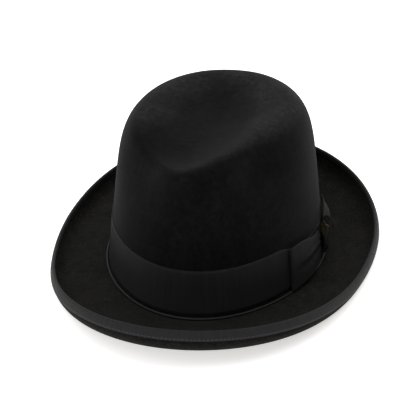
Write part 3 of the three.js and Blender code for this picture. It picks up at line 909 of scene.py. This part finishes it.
def bow_loop(name, node, span, direction, swell, top):
    """A ribbon loop: from the knot along the band, round the outer fold and back outside."""
    leg = np.linspace(0, 1, 60)
    bend = np.linspace(0, math.pi, 14)[1:-1]
    reach = np.concatenate([leg, np.ones_like(bend), leg[::-1]])
    turn = np.concatenate([0 * leg, bend, math.pi + 0 * leg])
    outside = (1 - np.cos(turn)) / 2
    knot_side = BOW_HALF_KNOT * 1.1
    theta = knot_side + (span - knot_side) * reach + 0.0008 * np.sin(turn) / HALF_LENGTH
    gather = bell(reach, 0, 0.07)
    low = BOW_WAIST_LOW + (BAND_BOTTOM - 0.0012 - BOW_WAIST_LOW) * reach ** 0.8 + 0.002 * gather
    high = top(reach) - 0.0030 * gather - 0.0016 * (1 - outside)
    across = np.linspace(0, 1, 41)
    reach, outside = reach[:, None], outside[:, None]
    z = between(low, high, across)
    off = LOOP_NEAR - 0.0006 * reach + swell(reach, across, z) * outside
    centre = wall_point(direction * theta[:, None], z, off)
    piece, run = ribbon(name, centre, BAND_WIDTH * across, 20)
    settle(piece, BODY, BAND_LOOK, [node])


def make_bow_tail():
    """The ribbon's cut end, lying on the band under the front loop."""
    share = np.linspace(0, 1, 30)
    theta = -(BOW_HALF_KNOT * 0.5 + (BOW_FRONT_SPAN * 0.86 - BOW_HALF_KNOT * 0.5) * share)
    high = BAND_BOTTOM + TAIL_WIDTH - TAIL_TAPER * share
    z = between(BAND_BOTTOM - 0.001, high, np.linspace(0, 1, 12))
    centre = wall_point(theta[:, None], z, 0.0017 + 0.0002 * np.sin(share * 9)[:, None])
    piece, run = ribbon("bow_tail_ribbon", centre, z, 5)
    settle(piece, BODY, BAND_LOOK, ["bow_tail"])


def make_bow_knot():
    """The wrap over the bow's waist; it turns in at top and bottom, clear of the pin."""
    turn = np.linspace(-1, 1, 41)
    half_height = (KNOT_HIGH - KNOT_LOW) / 2
    middle = (KNOT_HIGH + KNOT_LOW) / 2
    angle = turn * KNOT_WRAP
    z = middle + np.clip(np.sin(angle) * 1.35, -1, 1) * (half_height - KNOT_CORNER)
    z = z + KNOT_CORNER * np.sin(angle)
    off = KNOT_FAR - KNOT_CORNER * (1 - np.cos(angle))
    across = np.linspace(-1, 1, 17)
    fold = 0.00045 * np.cos(across * 7) + 0.0006 * (1 - across ** 2)
    waist = KNOT_HALF_WIDTH * (0.86 + 0.14 * np.abs(turn) ** 2)
    theta = across[None] * waist[:, None] / HALF_LENGTH
    centre = wall_point(theta, z[:, None], off[:, None] + fold[None] - 0.0012 * across[None] ** 4)
    piece, run = ribbon("bow_knot_wrap", centre, 0.006 * across, 8)
    # The knot's darker ribbon is painted shade.
    settle(piece, BODY, KNOT_SHADED_LOOK, ["bow_knot"])


bow_loop("bow_front_loop_ribbon", "bow_front_loop", BOW_FRONT_SPAN, -1, front_swell, front_top)
bow_loop("bow_rear_loop_ribbon", "bow_rear_loop", BOW_REAR_SPAN, 1, rear_swell, rear_top)
make_bow_tail()
make_bow_knot()

# ---- feather stick pin


def pin_point(z):
    """A point of the pin's axis; z may run past the wall, so the line is carried straight."""
    foot = wall_point(0.0, 0.0, PIN_OFFSET)
    lean = (wall_point(0.0, 0.001, PIN_OFFSET) - foot) / 0.001
    return foot + lean * z


def make_pin():
    tip = PIN_TIP_HEIGHT
    shank = turned_piece("stick_pin_shank", [
        (0, tip), (PIN_RADIUS * 0.5, tip + 0.0012), (PIN_RADIUS, tip + 0.0035),
        (PIN_RADIUS, PIN_TOP_HEIGHT), (0, PIN_TOP_HEIGHT)], 24, pin_point)
    settle(shank, ORNAMENT, STEEL_LOOK, ["ornament_pin"])
    foot = FERRULE_FOOT
    profile = [(0, 0), (1.1, 0), (1.5, 0.15), (1.8, 0.6), (1.9, 1.0), (1.8, 1.4), (1.45, 1.8),
               (1.35, 2.3), (1.3, 3.2), (1.35, 4.0), (1.5, 4.4), (1.85, 4.8), (2.0, 5.2),
               (1.9, 5.6), (1.6, 5.9), (1.2, 6.0), (0.9, 5.6), (0, 5.5)]
    ferrule = turned_piece("ornament_ferrule", [
        (r / 1000, foot + z / 1000) for r, z in profile], 40, pin_point)
    settle(ferrule, ORNAMENT, BRONZE_LOOK, ["ornament_head"])
    bead_centre = wall_point(0.0, foot + 0.0029, PIN_OFFSET + 0.0026)
    turn = np.linspace(0, math.pi, 25)
    ring = around(36)
    bead_points = bead_centre + 0.0019 * np.stack(np.broadcast_arrays(
        np.sin(turn)[:, None] * np.cos(ring), np.sin(turn)[:, None] * np.sin(ring),
        np.cos(turn)[:, None]), -1)
    bead = grid_piece("ornament_bead", bead_points, wrap=(False, True), weld=1e-7)
    settle(bead, ORNAMENT, BRONZE_LOOK)


def hackle_path(reach, rise, drop, root, swing):
    """Points along a curling hackle, from the ferrule's mouth to its tip."""
    share = np.linspace(0, 1, 60)
    turn = share * math.pi * 0.9
    start = PIN_TOP_HEIGHT + 0.0074
    off = PIN_OFFSET + reach * (1 - np.cos(turn)) * 0.5
    z = start + rise * np.sin(turn) - drop * share ** 2
    return wall_point(root + swing * share, z, off)


def feather_path(path):
    """Leads a hackle's path out of the ferrule's mouth."""
    mouth = pin_point(FERRULE_FOOT + 0.0048)
    lead = np.linspace(mouth, path[4], 8)[:-1]
    return np.concatenate([lead, path[4:]])


def vane_frame(path, twist):
    """Tangents of a quill and the direction its vane spreads, turned by twist about the quill."""
    tangent, _, _ = path_frames(path)
    across = np.cross(tangent, np.gradient(tangent, axis=0) + 1e-9)
    across /= np.maximum(np.linalg.norm(across, axis=-1, keepdims=True), 1e-9)
    across = np.where(across[:, 1:2] < 0, -across, across)
    normal = np.cross(tangent, across)
    return tangent, across * math.cos(twist) + normal * math.sin(twist)


def make_vane(name, path, width, twist, material):
    """The close, dark middle of a feather: a thin pointed leaf along its quill."""
    _, spread = vane_frame(path, twist)
    share = np.linspace(0, 1, len(path))
    half = width / 2 * np.maximum(0.06, np.sin(math.pi * np.clip(share * 0.93 + 0.05, 0, 1)) ** 0.8)
    across = np.linspace(-1, 1, 7)
    cup = 0.12 * width * across ** 2
    normal = unit(np.cross(np.gradient(path, axis=0), spread))
    centre = path[:, None] + (half[:, None] * across)[..., None] * spread[:, None]
    centre = centre + cup[None, :, None] * normal[:, None]
    vane = cloth_strip(name, centre, 0.00012, grid_uvs(share, (across + 1) / 2))
    settle(vane, ORNAMENT, material)


def make_barbs(name, path, width, count, twist, material, seed):
    """Fine barbs on both sides of a quill, as one mesh."""
    random = np.random.default_rng(seed)
    tangent, spread = vane_frame(path, twist)
    points = []
    faces = []
    uvs = []
    for side in (-1, 1):
        for share in np.linspace(0.12, 0.99, count):
            place = share * (len(path) - 1)
            k = min(int(place), len(path) - 2)
            origin = path[k] + (path[k + 1] - path[k]) * (place - k)
            length = width / 2 * max(0.2, math.sin(math.pi * share ** 0.8) ** 0.7)
            length *= random.uniform(0.7, 1.15)
            lift = np.cross(tangent[k], spread[k]) * random.uniform(-0.3, 0.3)
            heading = unit(side * spread[k] + tangent[k] * random.uniform(0.5, 0.9) + lift)
            bend = tangent[k] * 0.35 + lift
            base = len(points)
            for step in np.linspace(0, 1, 5):
                middle = origin + heading * length * step + bend * length * 0.5 * step ** 2
                half = 0.00015 * (1 - 0.8 * step)
                points += [middle - tangent[k] * half, middle + tangent[k] * half]
                uvs.append((share, step))
            for step in range(4):
                a = base + 2 * step
                faces.append([a, a + 1, a + 3, a + 2])
    corner_uvs = [uvs[vertex // 2] for face in faces for vertex in face]
    barbs = make_mesh(name, np.array(points), faces, corner_uvs)
    return settle(barbs, ORNAMENT, material)


def make_olive_hackle():
    """A broad, pointed hackle that hangs in front of the knot."""
    curl = hackle_path(0.0050, 0.0015, 0.0158, math.radians(-1), math.radians(-4))
    path = feather_path(curl)
    twist = math.radians(40)
    barbs = make_barbs("olive_hackle_barbs", path, 0.0068, 150, twist, OLIVE_FEATHER,
                       5)
    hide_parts("hackle_olive")
    make_vane("olive_hackle_vane", path, 0.0036, twist, DARK_FEATHER)
    quill = open_tubes("olive_hackle_quill", [(path, np.linspace(0.00028, 0.00008, len(path)))], 8)
    settle(quill, ORNAMENT, OLIVE_FEATHER)


def make_grey_spray():
    """Curling grey filaments round a black one, each with short barbs."""
    quills = []
    twist = math.radians(65)
    for k, size in enumerate((1.0, 0.84, 0.68, 0.54, 0.42)):
        swing = math.radians(6 - 1.3 * k)
        drop = 0.0135 * size ** 0.7
        curl = hackle_path(0.0092 * size, 0.0040 * size, drop, math.radians(1), swing)
        path = feather_path(curl)
        look = GREY_FEATHER if k == 0 else DARK_FEATHER
        barbs = make_barbs(f"grey_hackle_barbs_{k + 1}", path, 0.0018 + 0.0006 * k, 80, twist, look,
                           11 + k)
        if k == 0:
            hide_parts("hackle_grey")
        if k == 2:
            make_vane("black_hackle_vane", path, 0.0036, twist, DARK_FEATHER)
        quills.append((path, np.linspace(0.00022, 0.00007, len(path))))
    piece = open_tubes("grey_hackle_quills", quills, 7)
    settle(piece, ORNAMENT, GREY_FEATHER)


make_pin()
make_olive_hackle()
make_grey_spray()

# ---- inside of the hat

LINING_SEAM = 0.741
LINING_FOOT = 0.32
TIP_CORNER = 0.885
TIP_EDGE = 0.744
PIPING_LEVEL = 0.735
LINING_PLEATS = 96
SHIELD_REACH = 0.64
SHIELD_THICK = 0.0003

SWEATBAND_FOOT = -FELT - 0.0006 - 2 * REED_RADIUS
SWEATBAND_TOP = -LINING_INSET - 0.0009


def sweatband_off(z):
    return SWEATBAND_FOOT + (SWEATBAND_TOP - SWEATBAND_FOOT) * z / SWEATBAND_HEIGHT


def crown_cap(name, theta, phis, inset, thickness):
    """A thin cap under the crown, and the grid of its upper face."""
    upper, under = [np.stack([crown_point(theta, phi, depth) for phi in phis])
                    for depth in (inset, inset + thickness)]
    skin = np.concatenate([upper, under[::-1]])
    return grid_piece(name, skin, wrap=(False, True), weld=1e-7), upper


def make_sweatband():
    theta = around(480)
    heights = np.linspace(0.0010, SWEATBAND_HEIGHT, 24)
    off = sweatband_off(heights) - SWEATBAND_THICK / 2
    centre = wall_point(theta[:, None], heights[None], off[None])
    piece, run = ribbon("leather_sweatband", centre, heights, 12, SWEATBAND_THICK, wrap=True)
    settle(piece, BODY, LEATHER_LOOK, ["sweatband"])
    fine = around(900)
    reed_line = wall_point(fine, 0.003, -FELT - 0.0003 - REED_RADIUS)
    reed = ring_tube("sweatband_reed_cord", reed_line, 12, REED_RADIUS)
    settle(reed, BODY, REED_LOOK, ["sweatband_reed"])

    def foot_line(theta):
        off = sweatband_off(SWEATBAND_SEAM) - SWEATBAND_THICK - 0.0001
        return wall_point(theta, SWEATBAND_SEAM, off)

    stitch_row("sweatband_stitches", foot_line, LEATHER_STITCH, PALE_THREAD)


def inside_panel(name, centre_angle, half_angle, lift, thickness, edge, material, node,
                 rows=36, relief=None):
    """A small panel on the sweatband's inner face; edge(share) gives its low and high edge."""
    share = np.linspace(0, 1, rows)
    low, high = edge(share)
    across = np.linspace(0, 1, 15)
    z = between(low, high, across)
    off = sweatband_off(z) - SWEATBAND_THICK - lift
    if relief is not None:
        off = off - relief(share[:, None], across[None])
    theta = centre_angle - half_angle + 2 * half_angle * share
    centre = wall_point(theta[:, None], z, off)
    piece, _ = ribbon(name, centre, z, 7, thickness)
    return settle(piece, BODY, material, [node])


def level_edges(low, high):
    return lambda share: (low + 0 * share, high + 0 * share)


def make_sweatband_trims():
    back = math.radians(90)
    half_tape = math.radians(3.4)
    tape = inside_panel(
        "back_seam_tape", back, half_tape, 0.0004, 0.0004,
        level_edges(0.003, 0.030), BAND_LOOK, "sweatband_seam_tape")

    def bow_edge(share):
        flare = 0.0016 + 0.0026 * np.abs(2 * share - 1) ** 0.8
        return 0.017 - flare, 0.017 + flare

    def bow_relief(share, across):
        puff = np.sin(math.pi * np.abs(2 * share - 1)) * np.sin(math.pi * across)
        return 0.0008 * puff + 0.0008 * bell(share, 0.5, 0.07)

    half_bow = math.radians(7.5)
    bow = inside_panel(
        "sweatband_ribbon_bow", back, half_bow, 0.0014, 0.0005, bow_edge,
        SATIN_LOOK, "sweatband_bow", rows=60, relief=bow_relief)
    inside_panel(
        "blank_size_ticket", math.radians(68), math.radians(5), 0.0008, 0.0003,
        level_edges(0.012, 0.024), PAPER_LOOK, "size_label")


def make_lining():
    theta = around(720)
    phis = phi_of_height(np.linspace(LINING_SEAM, LINING_FOOT, 26))
    gathers = 0.00022 * np.sin(LINING_PLEATS * theta)[:, None] * np.linspace(1, 0.2, 26)
    centre = np.stack([
        crown_point(theta, phi, LINING_INSET + LINING_THICK / 2) for phi in phis], 1)
    out = np.stack([*outward(theta), 0 * theta], -1)
    centre = centre + out[:, None] * (gathers[..., None] - 0.0002)
    depth = arc_lengths(centre[0])
    side, run = ribbon("lining_side_satin", centre, depth, 12, LINING_THICK, wrap=True)
    settle(side, BODY, SATIN_LOOK, ["lining_side"])

    phis = np.concatenate([phi_of_share(np.linspace(0, TIP_CORNER, 46)),
                           phi_of_height(np.linspace(0.87, TIP_EDGE, 16))])
    tip, profile = crown_cap("lining_tip_satin", around(360), phis, LINING_DROP, LINING_THICK)
    settle(tip, BODY, SATIN_LOOK, ["lining_tip"])

    line = crown_point(around(900), phi_of_height(PIPING_LEVEL), LINING_INSET + 0.0016)
    piping = ring_tube("lining_piping_cord", line, 12, 0.001, twist=500, strands=2, relief=0.06)
    settle(piping, BODY, SATIN_LOOK, ["lining_piping"])


def make_tip_shield():
    inset = LINING_DROP + 0.0016
    phis = phi_of_share(np.linspace(0, SHIELD_REACH, 30))
    shield, _ = crown_cap("clear_tip_shield", around(240), phis, inset, SHIELD_THICK)
    settle(shield, BODY, FILM_LOOK, ["tip_shield"])

    def edge(theta):
        return crown_point(theta, phi_of_share(SHIELD_REACH - 0.03), inset + 0.0005)

    stitch_row("tip_shield_stitches", edge, SHIELD_STITCH, PALE_THREAD)


make_sweatband()
make_sweatband_trims()
make_lining()
make_tip_shield()

# ---- camera, floor and light

FLOOR_HALF = 4.0
FLOOR_GLOW = 0.6
FLOOR_GAP = 0.0002
WORLD_LIGHT = 0.15
LIGHT_TARGET = (0, 0, 0.08)


def make_camera():
    azimuth, elevation = CAMERA_AZIMUTH, CAMERA_ELEVATION
    back = Vector((math.sin(azimuth) * math.cos(elevation),
                   -math.cos(azimuth) * math.cos(elevation), math.sin(elevation)))
    right = Vector((math.cos(azimuth), math.sin(azimuth), 0))
    up = back.cross(right)
    rolled_right = right * math.cos(CAMERA_ROLL) + up * math.sin(CAMERA_ROLL)
    rolled_up = up * math.cos(CAMERA_ROLL) - right * math.sin(CAMERA_ROLL)
    aim = right * CAMERA_AIM_SIDE + Vector((0, 0, CAMERA_AIM_HEIGHT)) + Vector(SHIFT)
    data = bpy.data.cameras.new("camera")
    data.lens = CAMERA_LENS
    data.sensor_width = 36
    data.clip_end = 50
    camera = bpy.data.objects.new("camera", data)
    turn = Matrix((rolled_right, rolled_up, back)).transposed()
    camera.matrix_world = Matrix.Translation(aim + back * CAMERA_DISTANCE) @ turn.to_4x4()
    bpy.context.scene.collection.objects.link(camera)
    bpy.context.scene.camera = camera


def make_floor():
    shader = Shader("pale_floor")
    speckle = shader.noise(shader.coordinates(), 6, 2)
    shader.colour(shader.tones(speckle, (0.88, 0.88, 0.875), (0.9, 0.9, 0.895)))
    shader.set(Roughness=0.9, Specular_IOR_Level=0.1, Emission_Color=(1.0, 0.99, 0.965, 1),
               Emission_Strength=FLOOR_GLOW)
    size = FLOOR_HALF
    mesh = bpy.data.meshes.new("floor")
    corners = [(-size, -size, 0), (size, -size, 0), (size, size, 0), (-size, size, 0)]
    mesh.from_pydata(corners, [], [(0, 1, 2, 3)])
    mesh.materials.append(shader.material)
    floor = bpy.data.objects.new("floor", mesh)
    floor.location.z = cad_box[0][2] - FLOOR_GAP
    bpy.context.scene.collection.objects.link(floor)


def area_light(name, place, size, power):
    data = bpy.data.lights.new(name, "AREA")
    data.shape = "RECTANGLE"
    data.size, data.size_y = size
    data.energy = power
    light = bpy.data.objects.new(name, data)
    light.location = place
    aim = Vector(LIGHT_TARGET) - Vector(place)
    light.rotation_euler = aim.to_track_quat("-Z", "Y").to_euler()
    bpy.context.scene.collection.objects.link(light)


def make_lights():
    world = bpy.data.worlds.new("studio")
    world.use_nodes = True
    background = world.node_tree.nodes["Background"]
    background.inputs["Color"].default_value = (1, 1, 1, 1)
    background.inputs["Strength"].default_value = WORLD_LIGHT
    bpy.context.scene.world = world
    area_light("top_softbox", (-0.1, 0.3, 1.6), (3.0, 3.0), 47)
    area_light("rear_softbox", (0, 1.6, 0.8), (3.0, 1.6), 17)
    area_light("front_softbox", (-0.4, -1.3, 1.0), (1.5, 1.2), 11)


make_camera()
make_floor()
make_lights()

scene = bpy.context.scene
scene.view_settings.view_transform = "Standard"
